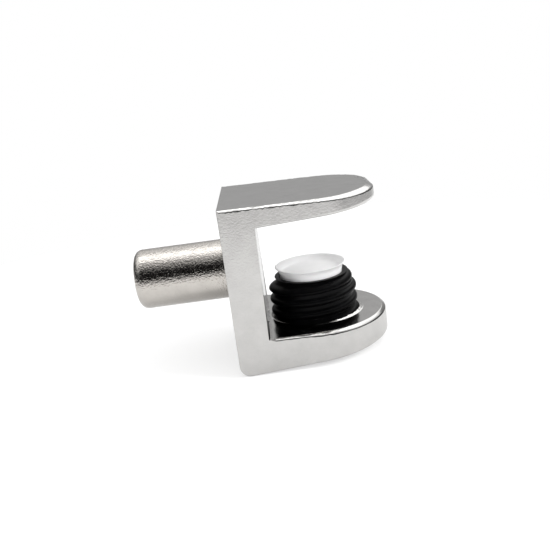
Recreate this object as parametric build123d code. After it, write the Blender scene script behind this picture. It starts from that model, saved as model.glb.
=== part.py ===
from build123d import *
import os
from math import cos, radians, sin, tan

# Shelf support pin for a glass shelf, in millimetres.
# +X runs along the jaws, away from the cabinet side, and +Z is up.
# The origin is on the peg's axis, at the back face that lies against the cabinet.

# peg
peg_diameter = 5.0
peg_length = 7.75
peg_end_chamfer = 0.6

# cast bracket, with its tapers in degrees
bracket_width = 12.0
plate_thickness = 2.65
plate_top = 5.97
plate_bottom = -7.6
upper_jaw_root = 1.67
upper_jaw_taper = 2.4
upper_jaw_fall = 0.4
lower_jaw_face = -4.67
lower_jaw_taper = 3.9
heel_round = 0.85
edge_round = 0.3
underside_chamfer = 0.3
inner_edge_chamfer = 0.15

# screw axis, the lower jaw's nose round about it, and the blunter nose of the upper jaw
screw_x = 6.75
nose_radius = bracket_width / 2
nose_tip = screw_x + nose_radius
upper_jaw_tip = 12.5
upper_corner_radius = 5.0

# thread of the screw and of the lower jaw, right-handed
pitch = 1.0
crest_radius = 3.7
thread_depth = 0.3
flank_angle = 30.0
crest_round = 0.28
thread_clearance = 0.08
crest_height = -2.7
root_radius = crest_radius - thread_depth

# clamp screw
screw_top = -1.33
screw_bottom = -6.83
screw_rim_radius = 3.1
top_chamfer_height = 1.0
end_chamfer = 0.45
seat_depth = 0.22
slot_width = 1.0
slot_depth = 1.2

# chamfers of the threaded hole
hole_ring_radius = 3.95
hole_exit_radius = 3.85

# soft pad that presses on the glass, with its flare in degrees from upright
rim_radius = 2.97
rim_top = -0.52
rim_flare = 42.0
lip_thickness = 0.16
waist_radius = 2.6
waist_flare = 8.0
dish_radius = 2.2
dish_depth = 0.5
stem_radius = 1.2
stem_length = 1.5

# fits
pad_clearance = 0.08
seat_gap = 0.05

# how far a cut reaches past the face it opens, and the thread's ridge into its core
overshoot = 1.0
ridge_sink = 0.1


def turned(points):
    """A solid turned about the screw's axis from an outline of (radius, height)."""
    with BuildSketch(Plane.XZ) as outline:
        with BuildLine():
            Polyline(*points, close=True)
        make_face()
    return Pos(screw_x, 0, 0) * revolve(outline.sketch, Axis.Z)


def thread_ridge(growth, turns):
    """The ridge of the thread as one coil of whole turns, grown by growth on every side."""
    lean = radians(flank_angle)
    crest = crest_radius + growth
    foot = root_radius + growth - ridge_sink
    tip_round = crest_round + growth
    # the round crest is drawn as three flats that touch its arc's ends
    shoulder = crest - tip_round * (1 - sin(lean))
    half_shoulder = tip_round * cos(lean)
    half_crest = half_shoulder * tan(lean / 2) / tan(lean)
    half_foot = half_shoulder + (shoulder - foot) * tan(lean)
    with BuildSketch(Plane.XZ) as outline:
        with BuildLine():
            Polyline(
                (foot, -half_foot),
                (shoulder, -half_shoulder),
                (crest, -half_crest),
                (crest, half_crest),
                (shoulder, half_shoulder),
                (foot, half_foot),
                close=True,
            )
        make_face()
    return sweep(outline.sketch, path=Helix(pitch, turns * pitch, crest), is_frenet=True)


def threaded_bar(growth, low, high):
    """Threaded bar that covers low to high, with its crests where the screw has them."""
    turns_below = round((crest_height - low) / pitch) + 1
    turns = round((high - low) / pitch) + 2
    # the core stands out past both ends of the coil, which joins them cleanly
    core = Pos(0, 0, turns * pitch / 2) * Cylinder(root_radius + growth, (turns + 2) * pitch)
    bar = core + thread_ridge(growth, turns)
    return Pos(screw_x, 0, crest_height - turns_below * pitch) * bar


def bracket_block():
    """Back plate and two tapering jaws from the side view, with each jaw's nose cut in plan."""
    bracket_height = plate_top - plate_bottom
    upper_face = plate_top - upper_jaw_root
    rise = (nose_tip - plate_thickness) * tan(radians(upper_jaw_taper))
    lift = nose_tip * tan(radians(lower_jaw_taper))
    with BuildSketch() as side:
        with BuildLine():
            Polyline(
                (0, plate_bottom),
                (nose_tip, plate_bottom + lift),
                (nose_tip, lower_jaw_face),
                (plate_thickness, lower_jaw_face),
                (plate_thickness, upper_face),
                (nose_tip, upper_face + rise),
                (nose_tip, plate_top - nose_tip * tan(radians(upper_jaw_fall))),
                (0, plate_top),
                close=True,
            )
        make_face()
        fillet(side.vertices().sort_by_distance((0, plate_bottom))[0], heel_round)
    block = Rot(90, 0, 0) * extrude(side.sketch, bracket_width / 2, both=True)
    with BuildSketch() as lower_plan:
        Rectangle(screw_x, bracket_width, align=(Align.MIN, Align.CENTER))
        with Locations((screw_x, 0)):
            Circle(nose_radius)
    with BuildSketch() as upper_plan:
        Rectangle(upper_jaw_tip, bracket_width, align=(Align.MIN, Align.CENTER))
        fillet(upper_plan.vertices().group_by(Axis.X)[-1], upper_corner_radius)
    plan = extrude(lower_plan.sketch, -bracket_height) + extrude(upper_plan.sketch, bracket_height)
    return block & plan


def faces_up_or_down(body):
    """The jaws' four broad faces: underside, lower inner, upper inner and top."""
    level = [face for face in body.faces() if abs(face.normal_at().Z) > abs(face.normal_at().Y)]
    broad = ShapeList(level).sort_by(SortBy.AREA)[-4:]
    return broad.sort_by(Axis.Z)


def outline(face):
    """The edges round a jaw's face, without the one across its root."""
    return face.edges().sort_by(Axis.X)[1:]


def softened(body):
    """The block with the rounded and broken edges of the casting."""
    body = chamfer(outline(faces_up_or_down(body)[0]), underside_chamfer)
    body = fillet(outline(faces_up_or_down(body)[3]), edge_round)
    body = fillet(outline(faces_up_or_down(body)[1]), edge_round)
    return chamfer(outline(faces_up_or_down(body)[2]), inner_edge_chamfer)


def bracket():
    """The whole casting: softened block, peg, and the threaded hole with its chamfers."""
    peg = Cylinder(peg_diameter / 2, peg_length + plate_thickness / 2)
    peg = chamfer(peg.edges().sort_by(Axis.Z)[-1], peg_end_chamfer)
    body = softened(bracket_block())
    body += Rot(0, -90, 0) * Pos(0, 0, (peg_length - plate_thickness / 2) / 2) * peg
    exit_height = plate_bottom + screw_x * tan(radians(lower_jaw_taper))
    body -= threaded_bar(thread_clearance, exit_height - pitch, lower_jaw_face + pitch)
    wall = root_radius
    body -= turned([
        (0, lower_jaw_face + wall - hole_ring_radius),
        (wall, lower_jaw_face + wall - hole_ring_radius),
        (hole_ring_radius + overshoot, lower_jaw_face + overshoot),
        (0, lower_jaw_face + overshoot),
    ])
    body -= turned([
        (0, exit_height + hole_exit_radius - wall),
        (wall, exit_height + hole_exit_radius - wall),
        (hole_exit_radius + overshoot, exit_height - overshoot),
        (0, exit_height - overshoot),
    ])
    return body


def clamp_screw():
    """Threaded plug: chamfered top with a seat and blind hole for the pad, driver slot below."""
    outer = crest_radius + overshoot
    chamfer_slope = top_chamfer_height / (crest_radius - screw_rim_radius)
    blank = turned([
        (0, screw_bottom),
        (crest_radius - end_chamfer, screw_bottom),
        (outer, screw_bottom + outer - crest_radius + end_chamfer),
        (outer, screw_top - (outer - screw_rim_radius) * chamfer_slope),
        (screw_rim_radius, screw_top),
        (0, screw_top),
    ])
    body = threaded_bar(0, screw_bottom, screw_top) & blank
    seat = screw_top - seat_depth
    blind_end = seat - stem_length - seat_gap
    body -= turned([
        (0, blind_end),
        (stem_radius + pad_clearance, blind_end),
        (stem_radius + pad_clearance, seat),
        (waist_radius + pad_clearance, seat),
        (waist_radius + pad_clearance, screw_top + overshoot),
        (0, screw_top + overshoot),
    ])
    body -= Pos(screw_x, 0, screw_bottom + slot_depth / 2) * Box(2 * outer, slot_width, slot_depth)
    return body


def glass_pad():
    """Shallow soft dish with a thin flared lip, and the stem that sits in the screw."""
    base = screw_top - seat_depth + seat_gap
    stem_end = base - stem_length
    floor = rim_top - dish_depth
    with BuildSketch(Plane.XZ) as outline:
        with BuildLine():
            Polyline((0, stem_end), (stem_radius, stem_end), (stem_radius, base), (waist_radius, base))
            Spline(
                (waist_radius, base),
                (rim_radius, rim_top),
                tangents=[(tan(radians(waist_flare)), 1), (tan(radians(rim_flare)), 1)],
            )
            Polyline(
                (rim_radius, rim_top),
                (rim_radius - lip_thickness, rim_top),
                (dish_radius, floor),
                (0, floor),
                (0, stem_end),
            )
        make_face()
    return Pos(screw_x, 0, 0) * revolve(outline.sketch, Axis.Z)


pieces = {
    "bracket": bracket(),
    "clamp_screw": clamp_screw(),
    "glass_pad": glass_pad(),
}

os.makedirs("parts", exist_ok=True)
for name, shape in pieces.items():
    solid = shape.solids()[0]
    solid.label = name
    export_step(solid, f"parts/{name}.step")
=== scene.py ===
import math
import random
from functools import partial

import bmesh
import bpy
from mathutils import Matrix, Vector


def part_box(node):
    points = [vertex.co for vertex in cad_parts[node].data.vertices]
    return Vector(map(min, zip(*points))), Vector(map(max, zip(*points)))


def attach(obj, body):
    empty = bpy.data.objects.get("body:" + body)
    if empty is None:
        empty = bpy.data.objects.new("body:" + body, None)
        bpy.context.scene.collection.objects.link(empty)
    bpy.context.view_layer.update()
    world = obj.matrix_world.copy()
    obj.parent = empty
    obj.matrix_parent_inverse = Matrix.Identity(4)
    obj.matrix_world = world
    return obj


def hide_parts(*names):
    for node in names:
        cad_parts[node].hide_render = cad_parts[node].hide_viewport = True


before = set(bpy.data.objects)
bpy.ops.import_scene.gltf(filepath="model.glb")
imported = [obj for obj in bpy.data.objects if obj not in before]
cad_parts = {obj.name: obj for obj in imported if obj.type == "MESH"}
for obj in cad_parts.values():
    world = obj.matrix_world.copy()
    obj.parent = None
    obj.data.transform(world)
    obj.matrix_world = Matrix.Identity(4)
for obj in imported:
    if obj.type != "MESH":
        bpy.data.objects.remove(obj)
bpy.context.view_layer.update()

mm = 0.001


# Camera: level with the peg and a little to the front, looking down on the jaws from just
# under 16 degrees, and rolled so that the peg runs slightly uphill in the picture.
camera_azimuth = math.radians(0.22)
camera_elevation = math.radians(15.862)
camera_roll = math.radians(7.729)
camera_distance = 62.178 * mm
camera_target = Vector((3.711, 0, -1.178)) * mm

camera = bpy.data.objects.new("camera", bpy.data.cameras.new("camera"))
bpy.context.scene.collection.objects.link(camera)
bpy.context.scene.camera = camera
camera.data.sensor_width = 36
camera.data.lens = 48.08
camera.data.clip_start = 1 * mm
camera.data.clip_end = 10

to_camera = Vector((
    math.sin(camera_azimuth) * math.cos(camera_elevation),
    -math.cos(camera_azimuth) * math.cos(camera_elevation),
    math.sin(camera_elevation),
))
level_right = (-to_camera).cross(Vector((0, 0, 1))).normalized()
level_up = level_right.cross(-to_camera)
picture_right = level_right * math.cos(camera_roll) - level_up * math.sin(camera_roll)
picture_up = level_right * math.sin(camera_roll) + level_up * math.cos(camera_roll)
facing = Matrix((picture_right, picture_up, to_camera)).transposed()
camera.matrix_world = Matrix.Translation(camera_target + to_camera * camera_distance) @ facing.to_4x4()

bpy.context.scene.view_settings.view_transform = "Standard"


# Bracket: one zinc die casting with nickel plating. Back plate, two tapering jaws with round noses,
# a tapped hole in the lower jaw for the clamp screw, and the round peg on the back that goes
# into the cabinet side. Its upright walls come satin from the die and its flats are brighter.
half_width = 6.0 * mm
plate_thickness = 2.65 * mm
plate_top = 5.97 * mm
plate_bottom = -7.6 * mm
roof_root = 4.3 * mm
deck_height = -4.67 * mm
top_fall = math.tan(math.radians(0.8))
nose_lift = 0.16 * mm
nose_lift_from = 7.5 * mm
nose_lift_run = 5.0 * mm
roof_rise = math.tan(math.radians(2.4))
sole_rise = math.tan(math.radians(3.9))
heel_round = 0.85 * mm
heel_steps = 8
screw_x = 6.75 * mm
upper_tip = 12.45 * mm
upper_corner = 4.6 * mm
corner_steps = 48
side_steps = 40

ring_radius = 4.16 * mm
ring_inside = 3.75 * mm
ring_slope = 0.3 * mm
ring_height = 0.13 * mm
ring_round = 0.06 * mm
ring_steps = 12
ring_round_steps = 4
burr_middle = math.radians(-48)
hole_reach = 4.4 * mm
hole_top = -4 * mm
bore_radius = 3.48 * mm
bore_columns = 128
chamfer_steps = 8
bore_steps = 34
exit_radius = 3.85 * mm
exit_steps = 12
tap_clearance = 0.08 * mm

peg_radius = 2.5 * mm
peg_length = 7.75 * mm
peg_end_round = 0.7 * mm
peg_end_steps = 8
peg_steps = 12
peg_columns = 96

# the worn top and deck edges, and the crisp one of the roof: (at the root, at the nose)
top_rim_inward = (0.25 * mm, 0.7 * mm)
top_rim_down = (0.2 * mm, 0.36 * mm)
top_rim_full = 11 * mm
top_wear = 0.3
roof_rim_inward = (0.12 * mm, 0.45 * mm)
roof_rim_up = (0.12 * mm, 0.4 * mm)
roof_rim_full = 12 * mm
deck_rim_inward = (0.22 * mm, 0.36 * mm)
deck_rim_down = (0.2 * mm, 0.32 * mm)
deck_wear = 0.12
corner_run = 0.15 * mm
even_from = 8 * mm
nose_share = 0.25

# rounds of the other sharp edges
sharp_edge = math.radians(25)
widest_round = 0.25 * mm
sole_round = 0.22 * mm
back_edge_round = 0.08 * mm
inner_edge_round = 0.06 * mm

nickel_dark = (0.515, 0.507, 0.496)
nickel_light = (0.605, 0.597, 0.585)
mouth_shade = (0.1, 0.098, 0.095, 1)
peg_warmth = (0.98, 0.945, 0.905, 1)

# the screw and the hole share one form of thread; only the screw has a lead-in
thread_sizes = {
    "Axis X": screw_x,
    "Crest Height": -2.7 * mm,
    "Pitch": 1.0 * mm,
    "Crest Radius": 3.7 * mm,
    "Thread Depth": 0.3 * mm,
    "Crest Round": 0.28 * mm,
    "Root Round": 0.06 * mm,
    "Lead Height": 1.0 * mm,
    "Lead Slope": 0.0,
}


def top_at(x):
    """The top falls gently along the jaw and comes up again at the nose."""
    along = max(0.0, min(1.0, (x - nose_lift_from) / nose_lift_run))
    return plate_top - x * top_fall + nose_lift * along * along


def roof_at(x):
    return roof_root + (x - plate_thickness) * roof_rise


def sole_at(x):
    return plate_bottom + x * sole_rise


def add_node(tree, kind, inputs=None, **settings):
    """A node with its settings made and its inputs set or linked."""
    node = tree.nodes.new(kind)
    for name, value in settings.items():
        setattr(node, name, value)
    for key, value in (inputs or {}).items():
        if isinstance(value, bpy.types.NodeSocket):
            tree.links.new(value, node.inputs[key])
        else:
            node.inputs[key].default_value = value
    return node


def calc(tree, operation, *values):
    """One step of arithmetic, as a node's output."""
    return add_node(tree, "ShaderNodeMath", dict(enumerate(values)), operation=operation).outputs[0]


def arithmetic(tree):
    """Adding, subtracting, multiplying and dividing in a node tree."""
    return [partial(calc, tree, operation) for operation in ("ADD", "SUBTRACT", "MULTIPLY", "DIVIDE")]


def new_sockets(tree, way, names, kind="NodeSocketFloat"):
    """Named inputs or outputs on a node group."""
    for name in names:
        tree.interface.new_socket(name, in_out=way, socket_type=kind)


def thread_form():
    """Node group: how far out the thread's surface stands at a point round the screw's axis."""
    tree = bpy.data.node_groups.new("thread form", "GeometryNodeTree")
    new_sockets(tree, "INPUT", [*thread_sizes, "Clearance"])
    new_sockets(tree, "OUTPUT", ("Thread Radius", "Own Radius"))
    add, subtract, multiply, divide = arithmetic(tree)
    sizes = add_node(tree, "NodeGroupInput").outputs
    here = add_node(tree, "GeometryNodeInputPosition").outputs[0]
    place = add_node(tree, "ShaderNodeSeparateXYZ", {0: here}).outputs
    out_x = subtract(place["X"], sizes["Axis X"])
    own_radius = calc(tree, "SQRT", add(multiply(out_x, out_x), multiply(place["Y"], place["Y"])))
    # turns up the coil, and from them the height above or below the nearest crest
    round_turn = divide(calc(tree, "ARCTAN2", place["Y"], out_x), 2 * math.pi)
    turns_up = divide(subtract(place["Z"], sizes["Crest Height"]), sizes["Pitch"])
    phase = calc(tree, "FRACT", add(subtract(turns_up, round_turn), 0.5))
    off_crest = multiply(calc(tree, "ABSOLUTE", subtract(phase, 0.5)), sizes["Pitch"])
    # a round crest between two straight flanks that lean 30 degrees
    lean = math.radians(30)
    crest = add(sizes["Crest Radius"], sizes["Clearance"])
    tip = add(sizes["Crest Round"], sizes["Clearance"])
    half_tip = multiply(tip, math.cos(lean))
    inside = subtract(multiply(tip, tip), multiply(off_crest, off_crest))
    on_tip = add(subtract(crest, tip), calc(tree, "SQRT", calc(tree, "MAXIMUM", inside, 0.0)))
    shoulder = subtract(crest, multiply(tip, 1 - math.sin(lean)))
    on_flank = subtract(shoulder, divide(subtract(off_crest, half_tip), math.tan(lean)))
    past_tip = calc(tree, "GREATER_THAN", off_crest, half_tip)
    ridge = add_node(tree, "ShaderNodeMix", {0: past_tip, 2: on_tip, 3: on_flank}, data_type="FLOAT").outputs[0]
    root = subtract(crest, sizes["Thread Depth"])
    cut = calc(tree, "SMOOTH_MAX", ridge, root, sizes["Root Round"])
    # a lead-in above its height, where the whole thread runs in towards the axis
    lead = calc(tree, "MAXIMUM", subtract(place["Z"], sizes["Lead Height"]), 0.0)
    cut = subtract(cut, multiply(lead, sizes["Lead Slope"]))
    add_node(tree, "NodeGroupOutput", {"Thread Radius": cut, "Own Radius": own_radius})
    return tree


def thread_cutter(name, inner, material):
    """Modifier tree that cuts the thread into a plain turned wall, marked by the cut attribute."""
    tree = bpy.data.node_groups.new(name, "GeometryNodeTree")
    new_sockets(tree, "INPUT", ["Geometry"], "NodeSocketGeometry")
    new_sockets(tree, "INPUT", [*thread_sizes, "Clearance"])
    new_sockets(tree, "OUTPUT", ["Geometry"], "NodeSocketGeometry")
    given = add_node(tree, "NodeGroupInput").outputs
    group = bpy.data.node_groups.get("thread form") or thread_form()
    form = add_node(tree, "GeometryNodeGroup", node_tree=group)
    for size in [*thread_sizes, "Clearance"]:
        tree.links.new(given[size], form.inputs[size])
    way = "MAXIMUM" if inner else "MINIMUM"
    radius = calc(tree, way, form.outputs["Own Radius"], form.outputs["Thread Radius"])
    stretch = calc(tree, "DIVIDE", radius, calc(tree, "MAXIMUM", form.outputs["Own Radius"], 0.01 * mm))
    place = add_node(tree, "GeometryNodeInputPosition").outputs[0]
    axis = add_node(tree, "ShaderNodeCombineXYZ", {"X": given["Axis X"]}).outputs[0]
    arm = add_node(tree, "ShaderNodeVectorMath", {0: place, 1: axis}, operation="SUBTRACT").outputs[0]
    scale = add_node(tree, "ShaderNodeCombineXYZ", {"X": stretch, "Y": stretch, "Z": 1.0}).outputs[0]
    arm = add_node(tree, "ShaderNodeVectorMath", {0: arm, 1: scale}, operation="MULTIPLY").outputs[0]
    target = add_node(tree, "ShaderNodeVectorMath", {0: arm, 1: axis}, operation="ADD").outputs[0]
    marked = add_node(tree, "GeometryNodeInputNamedAttribute", {"Name": "cut"}, data_type="FLOAT").outputs[0]
    marked = calc(tree, "GREATER_THAN", marked, 0.5)
    moved = add_node(tree, "GeometryNodeSetPosition",
                     {"Geometry": given["Geometry"], "Selection": marked, "Position": target})
    made = add_node(tree, "GeometryNodeRealizeInstances", {"Geometry": moved.outputs[0]})
    made = add_node(tree, "GeometryNodeSetMaterial", {"Geometry": made.outputs[0], "Material": material})
    add_node(tree, "NodeGroupOutput", {"Geometry": made.outputs[0]})
    return tree


def set_inputs(modifier, values):
    """Sets a tree's named inputs on its modifier, by their identifiers."""
    for item in modifier.node_group.interface.items_tree:
        if item.item_type == "SOCKET" and item.in_out == "INPUT" and item.name in values:
            modifier[item.identifier] = values[item.name]


def new_piece(name, shape):
    """An object at the origin made from a bmesh, which is used up."""
    mesh = bpy.data.meshes.new(name)
    shape.to_mesh(mesh)
    shape.free()
    piece = bpy.data.objects.new(name, mesh)
    bpy.context.scene.collection.objects.link(piece)
    return piece


def plain_mesh(piece):
    """Turns a piece's modifiers into its mesh."""
    depsgraph = bpy.context.evaluated_depsgraph_get()
    mesh = bpy.data.meshes.new_from_object(
        piece.evaluated_get(depsgraph), preserve_all_data_layers=True, depsgraph=depsgraph)
    piece.modifiers.clear()
    piece.data = mesh
    mesh.name = piece.name


def even_normals(mesh, sharpest):
    """Shading normals that keep flats flat and let the narrow rounds between them turn smoothly."""
    limit = math.cos(math.radians(sharpest))
    around = [[] for _ in mesh.vertices]
    for polygon in mesh.polygons:
        polygon.use_smooth = True
        for index in polygon.vertices:
            around[index].append((polygon.normal.copy(), polygon.area))
    normals = []
    for polygon in mesh.polygons:
        for index in polygon.vertices:
            total = Vector()
            for normal, area in around[index]:
                if normal.dot(polygon.normal) > limit:
                    total += normal * area
            normals.append(total.normalized())
    mesh.normals_split_custom_set(normals)


def ray_to_outline(angle, root_x):
    """Where a ray out from the screw's axis meets the jaw's outline in plan."""
    along, across = math.cos(angle), math.sin(angle)
    radius = half_width
    if along < -1e-9:
        radius = min((root_x - screw_x) / along, half_width / max(abs(across), 1e-9))
    return screw_x + radius * along, radius * across


def jaw_outline(root_x):
    """The lower jaw's outline in plan, a point for each column of the bore, with its two corners exact."""
    points = [ray_to_outline(2 * math.pi * k / bore_columns, root_x) for k in range(bore_columns)]
    corner = math.atan2(half_width, root_x - screw_x) / (2 * math.pi) * bore_columns
    points[round(corner)] = (root_x, half_width)
    points[bore_columns - round(corner)] = (root_x, -half_width)
    return points


def on_side(points, side):
    """The outline's points along one straight side, from the root to the nose."""
    return sorted(p for p in points if abs(p[1] - side * half_width) < 1e-9 and p[0] < screw_x + 1e-9)


def circle(centre_x, radius, height, columns):
    """Places round a level circle, from the nose's side."""
    turns = [2 * math.pi * k / columns for k in range(columns)]
    return [(centre_x + radius * math.cos(turn), radius * math.sin(turn), height) for turn in turns]


cast = bmesh.new()
cut_mark = cast.verts.layers.float.new("cut")
bevel_mark = cast.edges.layers.float.new("bevel_weight_edge")
known = {}


def point(x, y, z):
    """The casting's vertex at a place, made once."""
    key = (round(x * 1e8), round(y * 1e8), round(z * 1e8))
    if key not in known:
        known[key] = cast.verts.new((x, y, z))
    return known[key]


def face(points):
    """A face through places, leaving out any that repeats."""
    corners = list(dict.fromkeys(point(*place) for place in points))
    if len(corners) > 2:
        cast.faces.new(corners)


def band(lower, upper):
    """Faces between two closed rows of the same number of places."""
    for k in range(len(lower)):
        n = (k + 1) % len(lower)
        face([lower[k], lower[n], upper[n], upper[k]])


def grow(x, start, full_at, sizes):
    """A rim's size at x: nothing in its first corner, then from its size at the root to that at the nose."""
    along = max(0.0, min(1.0, (x - start) / (full_at - start)))
    quick = 1 - math.exp(-max(0.0, x - start) / corner_run)
    return quick * (sizes[0] + (sizes[1] - sizes[0]) * along ** 3)


def rim_section(worn):
    """Section of a softened edge from the wall in to the flat, (inward, down from the flat), each 0 to 1.
    A worn one is a small round by the wall, then a flatter stretch, then a tight round into the flat."""
    places = [(0.0, 0.0)]
    before = 0
    for lean in (3, 8, 13, 18, 23, 29, 36, 43, 48, 52, 56, 60, 64, 70, 78, 90):
        middle = math.radians((lean + before) / 2)
        size = 1.0
        if worn:
            size = 0.22 if middle < math.radians(46) else 1.2 if middle < math.radians(62) else 0.15
        run = size * math.radians(lean - before)
        inward, up = places[-1]
        places.append((inward + run * math.sin(middle), up + run * math.cos(middle)))
        before = lean
    inward, up = places[-1]
    return [(x / inward, 1 - y / up) for x, y in places]


def rim(outline, start, full_at, inward, down, height_at, up, worn):
    """Rows of a softened edge from the wall in to the flat, round an outline of (place, way out).
    worn is how unevenly it has worn, 0 for a crisp edge; the nose is handled less and wears evenly."""
    rows = []
    chance = random.Random(7)
    wander = [worn * chance.uniform(-1, 1) for _ in outline]
    wander[-1] = wander[0]
    for across, below in rim_section(worn > 0):
        row = []
        for ((x, y), (out_x, out_y)), change in zip(outline, wander):
            if x > even_from:
                change *= nose_share
            inset = grow(x, start, full_at, inward) * across * (1 + change)
            drop = grow(x, start, full_at, down) * below * (1 - change)
            x, y = x - out_x * inset, y - out_y * inset
            row.append((x, y, height_at(x) - drop * up))
        rows.append(row)
    for lower, upper in zip(rows, rows[1:]):
        for k in range(len(lower) - 1):
            face([lower[k], lower[k + 1], upper[k + 1], upper[k]])
    return rows


# round of the heel, from the back face to the sole
sole_lean = math.atan(sole_rise)
heel_x, heel_z = heel_round, plate_bottom + heel_round * (sole_rise + 1 / math.cos(sole_lean))
heel = [(0.0, heel_z)]
for k in range(1, heel_steps + 1):
    turn = math.pi + (math.pi / 2 + sole_lean) * k / heel_steps
    heel.append((heel_x + heel_round * math.cos(turn), heel_z + heel_round * math.sin(turn)))

# plan lines: the upper jaw's nose is blunter than the lower one's, which is round about the screw
deck = jaw_outline(plate_thickness)
sole = jaw_outline(heel[-1][0])
upper_side = upper_tip - upper_corner
upper_nose = []
for side, first_turn in ((-1, -90), (1, 0)):
    for k in range(corner_steps + 1):
        turn = math.radians(first_turn + 90 * k / corner_steps)
        way_out = (math.cos(turn), math.sin(turn))
        centre_y = side * (half_width - upper_corner)
        place = (upper_side + upper_corner * way_out[0], centre_y + upper_corner * way_out[1])
        upper_nose.append((place, way_out))


def jaw_line(start):
    """The upper jaw's outline from one side round the nose to the other, each place with its way out."""
    near_root = (0, 0.05, 0.12, 0.22, 0.35, 0.55)
    steps = [start + d * mm for d in near_root]
    first = steps[-1]
    steps += [first + (upper_side - first) * k / side_steps for k in range(1, side_steps)]
    near = [((x, -half_width), (0, -1)) for x in steps]
    return near + upper_nose + [((x, half_width), (0, 1)) for x in reversed(steps)]


# peg, from the middle of its round end to the back face
peg_profile = [(-peg_length, (peg_radius - peg_end_round) * k / 4) for k in range(1, 4)]
for k in range(peg_end_steps + 1):
    turn = math.pi / 2 * k / peg_end_steps
    peg_profile.append((-peg_length + peg_end_round * (1 - math.cos(turn)),
                        peg_radius - peg_end_round * (1 - math.sin(turn))))
for k in range(1, peg_steps + 1):
    peg_profile.append((-(peg_length - peg_end_round) * (1 - k / peg_steps), peg_radius))
peg_turns = [2 * math.pi * k / peg_columns for k in range(peg_columns)]
peg_rows = [[(x, r * math.cos(turn), r * math.sin(turn)) for turn in peg_turns] for x, r in peg_profile]
for k in range(peg_columns):
    face([(-peg_length, 0, 0), peg_rows[0][k], peg_rows[0][(k + 1) % peg_columns]])
for lower, upper in zip(peg_rows, peg_rows[1:]):
    band(lower, upper)

# back face round the peg
back = []
for turn in peg_turns:
    across, up = math.cos(turn), math.sin(turn)
    reach = half_width / max(abs(across), 1e-9)
    if abs(up) > 1e-9:
        reach = min(reach, (plate_top if up > 0 else heel_z) / up)
    back.append((0.0, reach * across, reach * up))
for side in (1, -1):
    for height in (plate_top, heel_z):
        corner = round(math.atan2(height, side * half_width) / (2 * math.pi) * peg_columns) % peg_columns
        back[corner] = (0.0, side * half_width, height)
band(peg_rows[-1], back)

# the top with its rim, laid in strips across the jaw, and the roof of the mouth with its own
top_back = sorted(p for p in back if abs(p[2] - plate_top) < 1e-9)
top_rim = rim(jaw_line(0.0), 0.0, top_rim_full, top_rim_inward, top_rim_down,
              top_at, 1, top_wear)
roof_rim = rim(jaw_line(plate_thickness), plate_thickness, roof_rim_full, roof_rim_inward, roof_rim_up,
               roof_at, -1, worn=0)
top_flat = top_rim[-1]
half = len(top_flat) // 2
face([top_flat[0]] + top_back[1:-1] + [top_flat[-1]])
for k in range(half - 1):
    face([top_flat[k], top_flat[k + 1], top_flat[-2 - k], top_flat[-1 - k]])
face(top_flat[half - 1:-half + 1])
face(roof_rim[-1])

# plate inside the mouth, and the round of the heel
deck_root = sorted((p for p in deck if abs(p[0] - plate_thickness) < 1e-9), key=lambda p: p[1])
face([(plate_thickness, y, deck_height) for _, y in deck_root]
     + [(plate_thickness, half_width, roof_root), (plate_thickness, -half_width, roof_root)])
heel_rows = [[(x, -half_width, z), (x, half_width, z)] for x, z in heel]
heel_rows[0] = sorted((p for p in back if abs(p[2] - heel_z) < 1e-9), key=lambda p: p[1])
sole_root = sorted((p for p in sole if abs(p[0] - heel[-1][0]) < 1e-9), key=lambda p: p[1])
heel_rows[-1] = [(x, y, heel[-1][1]) for x, y in sole_root]
for first, last in zip(heel_rows, heel_rows[1:]):
    face(first + last[::-1])

# the deck's rim goes all round its outline, and has no size along the root
deck_line = []
for x, y in deck:
    if abs(x - plate_thickness) < 1e-9:
        deck_line.append(((x, y), (0, 0)))
    elif x < screw_x + 1e-9:
        deck_line.append(((x, y), (0, math.copysign(1, y))))
    else:
        deck_line.append(((x, y), ((x - screw_x) / half_width, y / half_width)))
deck_rim = rim(deck_line + deck_line[:1], plate_thickness, screw_x, deck_rim_inward, deck_rim_down,
               lambda x: deck_height, 1, deck_wear)
deck_rim = [row[:-1] for row in deck_rim]

# sides and the round walls of both noses
for side in (-1, 1):
    y = side * half_width
    back_side = sorted((p for p in back if abs(p[1] - y) < 1e-9), key=lambda p: p[2])
    upper_wall = [p for p in top_rim[0] if abs(p[1] - y) < 1e-9]
    roof_wall = [p for p in roof_rim[0] if abs(p[1] - y) < 1e-9]
    deck_wall = [p for p in deck_rim[0] if abs(p[1] - y) < 1e-9 and p[0] < screw_x + 1e-9]
    face(sorted(upper_wall)
         + sorted(roof_wall, reverse=True)
         + sorted(deck_wall)
         + [(x, y, sole_at(x)) for x, _ in reversed(on_side(sole, side)) if x > heel[-1][0] + 1e-9]
         + [(x, y, z) for x, z in reversed(heel)]
         + back_side[1:])
upper_lows = [p for p in roof_rim[0] if p[0] > upper_side - 1e-9]
upper_highs = [p for p in top_rim[0] if p[0] > upper_side - 1e-9]
for k in range(len(upper_lows) - 1):
    face([upper_lows[k], upper_lows[k + 1], upper_highs[k + 1], upper_highs[k]])
quarter = bore_columns // 4
for k in range(-quarter, quarter):
    (x0, y0), (x1, y1) = sole[k], sole[k + 1]
    face([(x0, y0, sole_at(x0)), (x1, y1, sole_at(x1)), deck_rim[0][k + 1], deck_rim[0][k]])

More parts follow.
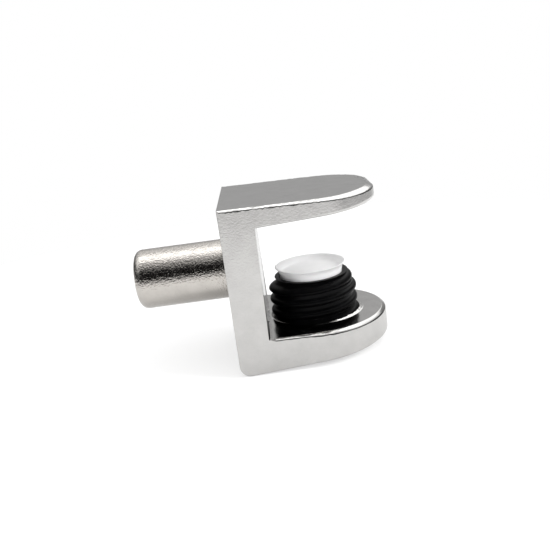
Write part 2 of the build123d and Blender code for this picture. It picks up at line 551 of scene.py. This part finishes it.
# wall of the hole, still plain: the raised ring that the tap leaves at its mouth, chamfer, bore, chamfer
bore_profile = []
for k in range(ring_steps + 1):
    rise = (1 - math.cos(math.pi * k / ring_steps)) / 2
    bore_profile.append((ring_radius - ring_slope * k / ring_steps, deck_height + ring_height * rise))
for k in range(1, ring_round_steps + 1):
    turn = math.pi / 4 * k / ring_round_steps
    bore_profile.append((ring_radius - ring_slope - 0.01 * mm - ring_round * math.sin(turn),
                         deck_height + ring_height - ring_round * (1 - math.cos(turn))))
ring_rows = len(bore_profile)
mouth_r, mouth_z = bore_profile[-1]
chamfer = bore_radius - mouth_r
for k in range(1, chamfer_steps + 1):
    bore_profile.append((mouth_r + chamfer * k / chamfer_steps, mouth_z + chamfer * k / chamfer_steps))
chamfer_foot = bore_profile[-1][1]
bore_foot = sole_at(screw_x) + exit_radius - bore_radius
for k in range(1, bore_steps + 1):
    bore_profile.append((bore_radius, chamfer_foot + (bore_foot - chamfer_foot) * k / bore_steps))

# the ring stands proud where the thread breaks out, and almost nowhere else
turns = [2 * math.pi * k / bore_columns for k in range(bore_columns)]
chance = random.Random(3)
burr = [math.cos((turn - burr_middle) / 2) ** 8 * (1 + chance.uniform(-0.3, 0.3)) for turn in turns]
bore_rows = []
for r, z in bore_profile:
    raised = max(0.0, z - deck_height) if r > ring_inside else 0.0
    round_it = circle(screw_x, r, z, bore_columns)
    bore_rows.append([(x, y, height - raised * (1 - b)) for (x, y, height), b in zip(round_it, burr)])
for k in range(1, exit_steps + 1):
    row = []
    for turn in turns:
        out = exit_radius / (1 + math.cos(turn) * sole_rise)
        r = bore_radius + (out - bore_radius) * k / exit_steps
        sole_z = sole_at(screw_x + out * math.cos(turn))
        z = bore_foot + (sole_z - bore_foot) * k / exit_steps
        row.append((screw_x + r * math.cos(turn), r * math.sin(turn), z))
    bore_rows.append(row)
for row in bore_rows[ring_rows:]:
    for place in row:
        point(*place)[cut_mark] = 1.0

# lower jaw's deck and sole, each a band between its outline and the hole
band(deck_rim[-1], bore_rows[0])
for lower, upper in zip(bore_rows, bore_rows[1:]):
    band(lower, upper)
band(bore_rows[-1], [(x, y, heel[-1][1] if abs(x - heel[-1][0]) < 1e-9 else sole_at(x)) for x, y in sole])

# rounds of the casting's other edges: the plate's and the sole's, as the rims have their own
bmesh.ops.recalc_face_normals(cast, faces=cast.faces)
for edge in cast.edges:
    middle = (edge.verts[0].co + edge.verts[1].co) / 2
    if len(edge.link_faces) != 2 or edge.calc_face_angle(0) < sharp_edge:
        continue
    from_axis = (middle.xy - Vector((screw_x, 0))).length
    in_bore = from_axis < hole_reach and middle.z < hole_top
    at_peg = middle.x < -0.01 * mm or (abs(middle.x) < 1e-9 and middle.yz.length < peg_radius * 1.05)
    if in_bore or at_peg:
        size = 0
    elif abs(middle.x - plate_thickness) < 1e-8:
        size = inner_edge_round
    elif middle.x < 1e-9:
        size = back_edge_round
    elif middle.z > deck_height - 1 * mm:
        size = 0
    else:
        size = sole_round
    edge[bevel_mark] = size / widest_round
bracket = new_piece("bracket_casting", cast)


def new_material(name):
    """A material with nodes, its tree and its shader."""
    material = bpy.data.materials.new(name)
    material.use_nodes = True
    return material, material.node_tree, material.node_tree.nodes["Principled BSDF"]


def surface_texture():
    """Shader node group: a coarse cloud and a fine grain over a surface, both from 0 to 1."""
    tree = bpy.data.node_groups.new("cloud and grain", "ShaderNodeTree")
    new_sockets(tree, "INPUT", ["Place"], "NodeSocketVector")
    new_sockets(tree, "INPUT", ("Cloud Scale", "Cloud Detail", "Grain Scale", "Grain Detail", "Roughness"))
    new_sockets(tree, "OUTPUT", ("Cloud", "Grain"))
    given = add_node(tree, "NodeGroupInput").outputs
    made = {}
    for name in ("Cloud", "Grain"):
        noise = {"Vector": given["Place"], "Scale": given[name + " Scale"], "Detail": given[name + " Detail"],
                 "Roughness": given["Roughness"]}
        made[name] = add_node(tree, "ShaderNodeTexNoise", noise).outputs["Fac"]
    add_node(tree, "NodeGroupOutput", made)
    return tree


def textured(tree, here, sizes):
    """The surface texture placed in a material with its own sizes: its cloud and its grain."""
    group = bpy.data.node_groups.get("cloud and grain") or surface_texture()
    outputs = add_node(tree, "ShaderNodeGroup", {"Place": here, **sizes}, node_tree=group).outputs
    return outputs["Cloud"], outputs["Grain"]


def blend(tree, share, first, second, way="MIX"):
    """Two colours mixed by a share, as a node's output."""
    inputs = {0: share, 6: first, 7: second}
    return add_node(tree, "ShaderNodeMix", inputs, data_type="RGBA", blend_type=way).outputs[2]


def tones(tree, value, low, dark, high, light):
    """A colour from dark at the low value to light at the high one."""
    ramp = add_node(tree, "ShaderNodeValToRGB", {"Fac": value})
    for element, position, colour in zip(ramp.color_ramp.elements, (low, high), (dark, light)):
        element.position = position
        element.color = (*colour, 1)
    return ramp.outputs["Color"]


nickel, tree, shader = new_material("satin nickel")
shader.inputs["Metallic"].default_value = 1.0
add, subtract, multiply = arithmetic(tree)[:3]
here = add_node(tree, "ShaderNodeTexCoord").outputs["Object"]
wall, mouth, on_peg = (add_node(tree, "ShaderNodeAttribute", attribute_name=name).outputs["Fac"]
                       for name in ("wall", "mouth", "peg"))
cloud, grain = textured(tree, here, {"Cloud Scale": 900.0, "Cloud Detail": 4.0, "Grain Scale": 5200.0,
                                     "Grain Detail": 3.0, "Roughness": 0.6})
peel = add_node(tree, "ShaderNodeTexNoise", {"Vector": here, "Scale": 6500.0, "Detail": 2.0, "Roughness": 0.6})
peel = peel.outputs["Fac"]
plating = tones(tree, add(multiply(cloud, 0.65), multiply(grain, 0.35)), 0.3, nickel_dark, 0.7, nickel_light)
# painted shade and reflection: the plate inside the mouth is darkened, standing in for the black screw mirrored
# in it
plating = blend(tree, multiply(mouth, 0.55), plating, mouth_shade)
plating = blend(tree, on_peg, plating, peg_warmth, "MULTIPLY")
tree.links.new(plating, shader.inputs["Base Color"])
# the walls are duller than the flats, the peg a little brighter
dullness = subtract(add(0.12, multiply(wall, 0.1)), multiply(on_peg, 0.04))
dullness = add(dullness, multiply(subtract(grain, 0.5), 0.1))
tree.links.new(dullness, shader.inputs["Roughness"])
fine = multiply(grain, add(0.2, multiply(wall, 0.2)))
coarse = multiply(peel, add(0.4, multiply(on_peg, 2.2)))
bump = add_node(tree, "ShaderNodeBump", {"Height": add(fine, coarse), "Strength": 1.0, "Distance": 0.016 * mm})
tree.links.new(bump.outputs["Normal"], shader.inputs["Normal"])

rounds = bracket.modifiers.new("edge rounds", "BEVEL")
rounds.limit_method = "WEIGHT"
rounds.width = widest_round
rounds.segments = 4
rounds.use_clamp_overlap = False
tap = bracket.modifiers.new("tapped thread", "NODES")
tap.node_group = thread_cutter("tapped hole", True, nickel)
set_inputs(tap, {**thread_sizes, "Clearance": tap_clearance})
plain_mesh(bracket)
even_normals(bracket.data, 40)

# which faces are upright walls, which the plate inside the mouth and which the peg
marks = {"wall": [], "mouth": [], "peg": []}
for polygon in bracket.data.polygons:
    x = polygon.center.x
    is_peg = x < -0.01 * mm
    is_mouth = polygon.normal.x > 0.9 and -0.01 * mm < x - plate_thickness < 0.1 * mm
    is_wall = abs(polygon.normal.z) < 0.3 and not is_peg and not is_mouth
    for name, answer in (("wall", is_wall), ("mouth", is_mouth), ("peg", is_peg)):
        marks[name].append(float(answer))
for name, values in marks.items():
    bracket.data.attributes.new(name, "FLOAT", "FACE").data.foreach_set("value", values)
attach(bracket, "bracket")
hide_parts("bracket")


# Clamp screw: a moulded black plastic plug with a coarse round-crested thread. Its top is
# chamfered and has a shallow seat for the pad; a driver slot crosses its lower end.
screw_top = -1.33 * mm
screw_bottom = -6.83 * mm
screw_columns = 192
blank_radius = 3.75 * mm
end_radius = 3.25 * mm
threaded_from = 3.2 * mm
thread_step = 0.036 * mm
lead_height = -2.25 * mm
lead_slope = 0.62
seat_radius = 2.68 * mm
seat_depth = 0.22 * mm
blind_radius = 1.28 * mm
blind_depth = 1.77 * mm
slot_width = 1.0 * mm
slot_depth = 1.2 * mm
slot_reach = 9 * mm
black_low = (0.0006, 0.0006, 0.0007)
black_high = (0.002, 0.002, 0.0024)


def turned(name, outline, columns):
    """A closed mesh turned about the screw's axis from places of (radius, height), both ends on the axis."""
    shape = bmesh.new()
    mark = shape.verts.layers.float.new("cut")
    rings = []
    for radius, height in outline:
        places = circle(screw_x, radius, height, columns) if radius else [(screw_x, 0, height)]
        rings.append([shape.verts.new(place) for place in places])
        if radius > threaded_from:
            for vertex in rings[-1]:
                vertex[mark] = 1.0
    for lower, upper in zip(rings, rings[1:]):
        for k in range(columns):
            n = (k + 1) % columns
            round_face = ((lower, k), (lower, n), (upper, n), (upper, k))
            corners = [ring[step % len(ring)] for ring, step in round_face]
            shape.faces.new(list(dict.fromkeys(corners)))
    bmesh.ops.recalc_face_normals(shape, faces=shape.faces)
    return new_piece(name, shape)


def finely(places, step):
    """The outline with more places on its long runs."""
    out = [places[0]]
    for (r0, z0), (r1, z1) in zip(places, places[1:]):
        runs = max(1, math.ceil(math.hypot(r1 - r0, z1 - z0) / step - 1e-6))
        out += [(r0 + (r1 - r0) * k / runs, z0 + (z1 - z0) * k / runs) for k in range(1, runs + 1)]
    return out


blank = [
    (end_radius, screw_bottom),
    (blank_radius, screw_bottom + 0.5 * mm),
    (blank_radius, screw_top - 0.2 * mm),
    (end_radius, screw_top - 0.03 * mm),
]
foot = [(0, screw_bottom), (1.5 * mm, screw_bottom), (threaded_from, screw_bottom)]
top_rounds = [
    (3.1 * mm, screw_top - 0.015 * mm),
    (3.06 * mm, screw_top),
    (2.74 * mm, screw_top),
    (seat_radius + 0.01 * mm, screw_top - 0.03 * mm),
]
seat = [
    (seat_radius, screw_top - seat_depth),
    (blind_radius, screw_top - seat_depth),
    (blind_radius, screw_top - blind_depth),
    (0, screw_top - blind_depth),
]
plug = turned("clamp_plug", foot + finely(blank, thread_step) + top_rounds + seat, screw_columns)

black, tree, shader = new_material("black moulded plastic")
shader.inputs["Specular IOR Level"].default_value = 0.1
here = add_node(tree, "ShaderNodeTexCoord").outputs["Object"]
cloud, grain = textured(tree, here, {"Cloud Scale": 1500.0, "Cloud Detail": 3.0, "Grain Scale": 9000.0,
                                     "Grain Detail": 2.0, "Roughness": 0.5})
tree.links.new(tones(tree, cloud, 0.35, black_low, 0.7, black_high), shader.inputs["Base Color"])
tree.links.new(calc(tree, "ADD", 0.32, calc(tree, "MULTIPLY", cloud, 0.15)), shader.inputs["Roughness"])
bump = add_node(tree, "ShaderNodeBump", {"Height": grain, "Strength": 0.3, "Distance": 0.01 * mm})
tree.links.new(bump.outputs["Normal"], shader.inputs["Normal"])

coil = plug.modifiers.new("moulded thread", "NODES")
coil.node_group = thread_cutter("moulded plug", False, black)
set_inputs(coil, {**thread_sizes, "Clearance": 0.0, "Lead Height": lead_height, "Lead Slope": lead_slope})
plain_mesh(plug)

slot_form = bmesh.new()
slot_block = Matrix.Diagonal((slot_reach, slot_width, 2 * slot_depth, 1))
bmesh.ops.create_cube(slot_form, size=1.0, matrix=Matrix.Translation((screw_x, 0, screw_bottom)) @ slot_block)
slot_cutter = new_piece("driver slot", slot_form)
slot_cutter.data.materials.append(black)
slotted = plug.modifiers.new("driver slot", "BOOLEAN")
slotted.operation = "DIFFERENCE"
slotted.object = slot_cutter
plain_mesh(plug)
bpy.data.objects.remove(slot_cutter)
even_normals(plug.data, 40)
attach(plug, "screw")
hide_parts("clamp_screw")


# Glass pad: a soft milky plastic dish with a thin flared lip, moulded in one with the stem
# that snaps into the screw's blind hole. It presses on the glass and does not turn with the screw.
pad_base = screw_top - 0.17 * mm
lip_top = -0.52 * mm
waist_radius = 2.6 * mm
side_lean = 0.13 * mm
lip_flare = 0.235 * mm
dish_radius = 2.85 * mm
dish_lean = 0.4 * mm
dish_depth = 0.5 * mm
stem_radius = 1.2 * mm
stem_length = 1.5 * mm
stem_round = 0.05 * mm
pad_columns = 128
milky_low = (0.87, 0.87, 0.875)
milky_high = (0.92, 0.92, 0.925)

stem = [
    (0, pad_base - stem_length),
    (stem_radius - stem_round, pad_base - stem_length),
    (stem_radius, pad_base - stem_length + stem_round),
    (stem_radius, pad_base),
    (waist_radius - 0.04 * mm, pad_base),
]
outer_side = []
for k in range(13):
    t = k / 12
    outer_side.append((waist_radius + side_lean * t + lip_flare * t ** 4,
                       pad_base + (lip_top - 0.04 * mm - pad_base) * t))
lip = [
    (2.968 * mm, lip_top - 0.012 * mm),
    (2.94 * mm, lip_top),
    (2.9 * mm, lip_top),
    (dish_radius, lip_top - 0.02 * mm),
]
inner_side = [(dish_radius - dish_lean * t, lip_top - 0.02 * mm - 0.42 * mm * t ** 0.7)
              for t in (0.15, 0.3, 0.45, 0.6, 0.75, 0.9, 1.0)]
dish_floor = [
    (2.3 * mm, lip_top - dish_depth + 0.015 * mm),
    (2.1 * mm, lip_top - dish_depth),
    (1.0 * mm, lip_top - dish_depth),
    (0, lip_top - dish_depth),
]
pad = turned("glass_dish", stem + outer_side + lip + inner_side + dish_floor, pad_columns)

milky, tree, shader = new_material("milky soft plastic")
here = add_node(tree, "ShaderNodeTexCoord").outputs["Object"]
cloud, _ = textured(tree, here, {"Cloud Scale": 700.0, "Cloud Detail": 3.0, "Roughness": 0.5})
tree.links.new(tones(tree, cloud, 0.3, milky_low, 0.7, milky_high), shader.inputs["Base Color"])
tree.links.new(calc(tree, "ADD", 0.32, calc(tree, "MULTIPLY", cloud, 0.12)), shader.inputs["Roughness"])
shader.inputs["Subsurface Weight"].default_value = 0.6
shader.inputs["Subsurface Radius"].default_value = (1.0, 1.0, 1.0)
shader.inputs["Subsurface Scale"].default_value = 0.6 * mm
pad.data.materials.append(milky)
even_normals(pad.data, 50)
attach(pad, "pad")
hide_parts("glass_pad")


# Floor: a small white table just under the bracket, which fades into the white room and keeps
# the shadow. The plating shows it as plain matt paper.
floor_radius = 60 * mm
floor_gap = 0.02 * mm
paper_tone = (0.45, 0.45, 0.45, 1)
paper_in_plating = (0.76, 0.76, 0.76, 1)

floor_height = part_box("bracket")[0].z - floor_gap
disc = bmesh.new()
bmesh.ops.create_circle(disc, cap_ends=True, segments=96, radius=floor_radius,
                        matrix=Matrix.Translation((0, 0, floor_height)))
floor = new_piece("floor", disc)

paper = bpy.data.materials.new("white table")
paper.use_nodes = True
tree = paper.node_tree
tree.nodes.clear()
path = add_node(tree, "ShaderNodeLightPath").outputs
seen = calc(tree, "MAXIMUM", path["Is Camera Ray"], path["Is Transmission Ray"])
tone = blend(tree, path["Is Glossy Ray"], paper_tone, paper_in_plating)
matt = add_node(tree, "ShaderNodeBsdfDiffuse", {"Color": tone}).outputs[0]
glow = {"Color": (1, 1, 1, 1), "Strength": calc(tree, "MULTIPLY", seen, 0.55)}
lift = add_node(tree, "ShaderNodeEmission", glow).outputs[0]
both = add_node(tree, "ShaderNodeAddShader", {0: matt, 1: lift}).outputs[0]
add_node(tree, "ShaderNodeOutputMaterial", {"Surface": both})
floor.data.materials.append(paper)


# Room and lamps: white to the camera, and to the plating a room with a dark side behind the camera,
# a strip of light overhead and two smaller lights beyond the nose. Three soft lamps light the plastic.

# levels by angle about the peg's line: 0 is level behind the camera, 0.5 straight up, 1 level ahead of it
levels_round = (
    (-0.055, 1.0), (-0.033, 0.75), (-0.01, 0.25), (0.015, 0.06), (0.06, 0.01), (0.14, 0.004), (0.2, 0.01),
    (0.24, 0.03), (0.28, 0.08), (0.32, 0.19), (0.37, 0.22), (0.41, 0.3), (0.45, 0.62), (0.49, 1.9), (0.56, 3.0),
    (0.62, 2.1), (0.66, 0.4), (0.72, 0.5), (0.76, 1.6), (0.81, 0.72), (0.85, 0.5), (0.9, 0.56), (0.925, 0.48),
    (0.965, 0.42), (0.98, 0.35), (1.0, 0.25),
)
# levels by height off to the sides, where the room is dark near the table
levels_aside = (
    (-1.0, 0.9), (-0.35, 0.85), (-0.12, 0.5), (0.0, 0.2), (0.1, 0.05), (0.35, 0.05), (0.5, 0.3), (0.7, 1.0),
    (1.0, 1.5),
)
aside_from, aside_full = 0.35, 0.75
# direction, degrees from it to the edge and to full strength, level
nose_lights = (
    (Vector((0.35, 0.58, 0.73)), 24, 16, 2.0),
    (Vector((0.3, 0.82, 0.48)), 11, 6, 1.8),
)

room = bpy.data.worlds.new("room")
bpy.context.scene.world = room
room.use_nodes = True
tree = room.node_tree
tree.nodes.clear()
path = add_node(tree, "ShaderNodeLightPath").outputs
seen = calc(tree, "MAXIMUM", path["Is Camera Ray"], path["Is Transmission Ray"])
seen = calc(tree, "MAXIMUM", seen, path["Is Diffuse Ray"])
ahead = add_node(tree, "ShaderNodeTexCoord").outputs["Generated"]
way = add_node(tree, "ShaderNodeSeparateXYZ", {0: ahead}).outputs
to_the_back = calc(tree, "MULTIPLY", way["Y"], -1.0)
over = calc(tree, "DIVIDE", calc(tree, "ARCTAN2", way["Z"], to_the_back), math.pi)


def light_levels(place, levels):
    """A grey that follows levels of (place, strength), with the place from -1 to 1."""
    half_place = calc(tree, "DIVIDE", calc(tree, "ADD", place, 1.0), 2.0)
    node = add_node(tree, "ShaderNodeValToRGB", {"Fac": half_place})
    ramp = node.color_ramp
    while len(ramp.elements) < len(levels):
        ramp.elements.new(0.5)
    for element, (position, value) in zip(ramp.elements, levels):
        element.position = (position + 1) / 2
        element.color = (value, value, value, 1)
    return node.outputs["Color"]


def share_between(value, none_at, all_at):
    """0 where the value is none_at, 1 where it is all_at."""
    inputs = {0: value, 1: none_at, 2: all_at, 3: 0.0, 4: 1.0}
    return add_node(tree, "ShaderNodeMapRange", inputs).outputs[0]


aside = share_between(calc(tree, "ABSOLUTE", way["X"]), aside_from, aside_full)
around = blend(tree, aside, light_levels(over, levels_round), light_levels(way["Z"], levels_aside))
for toward, edge, full, level in nose_lights:
    inputs = {0: ahead, 1: toward.normalized()}
    near_it = add_node(tree, "ShaderNodeVectorMath", inputs, operation="DOT_PRODUCT").outputs["Value"]
    share = share_between(near_it, math.cos(math.radians(edge)), math.cos(math.radians(full)))
    around = blend(tree, share, around, (level, level, level, 1))
lit = add_node(tree, "ShaderNodeBackground", {"Color": around, "Strength": 1.0}).outputs[0]
white = add_node(tree, "ShaderNodeBackground", {"Color": (1, 1, 1, 1), "Strength": 1.0}).outputs[0]
mixed = add_node(tree, "ShaderNodeMixShader", {0: seen, 1: lit, 2: white}).outputs[0]
add_node(tree, "ShaderNodeOutputWorld", {"Surface": mixed})

# name, place, width, power, and whether the plating shows it
lamps = (
    ("right fill", Vector((0.165, -0.06, 0.1)), 80 * mm, 0.3, False),
    ("left fill", Vector((-0.12, -0.16, 0.06)), 80 * mm, 0.16, False),
    ("soft light", Vector((0.03, -0.08, 0.2)), 160 * mm, 0.03, True),
)
for name, place, width, power, shown in lamps:
    lamp = bpy.data.lights.new(name, "AREA")
    lamp.shape = "DISK"
    lamp.size = width
    lamp.energy = power
    light = bpy.data.objects.new(name, lamp)
    bpy.context.scene.collection.objects.link(light)
    light.visible_glossy = shown
    aim = (place - camera_target).to_track_quat("Z", "Y").to_matrix().to_4x4()
    light.matrix_world = Matrix.Translation(place) @ aim
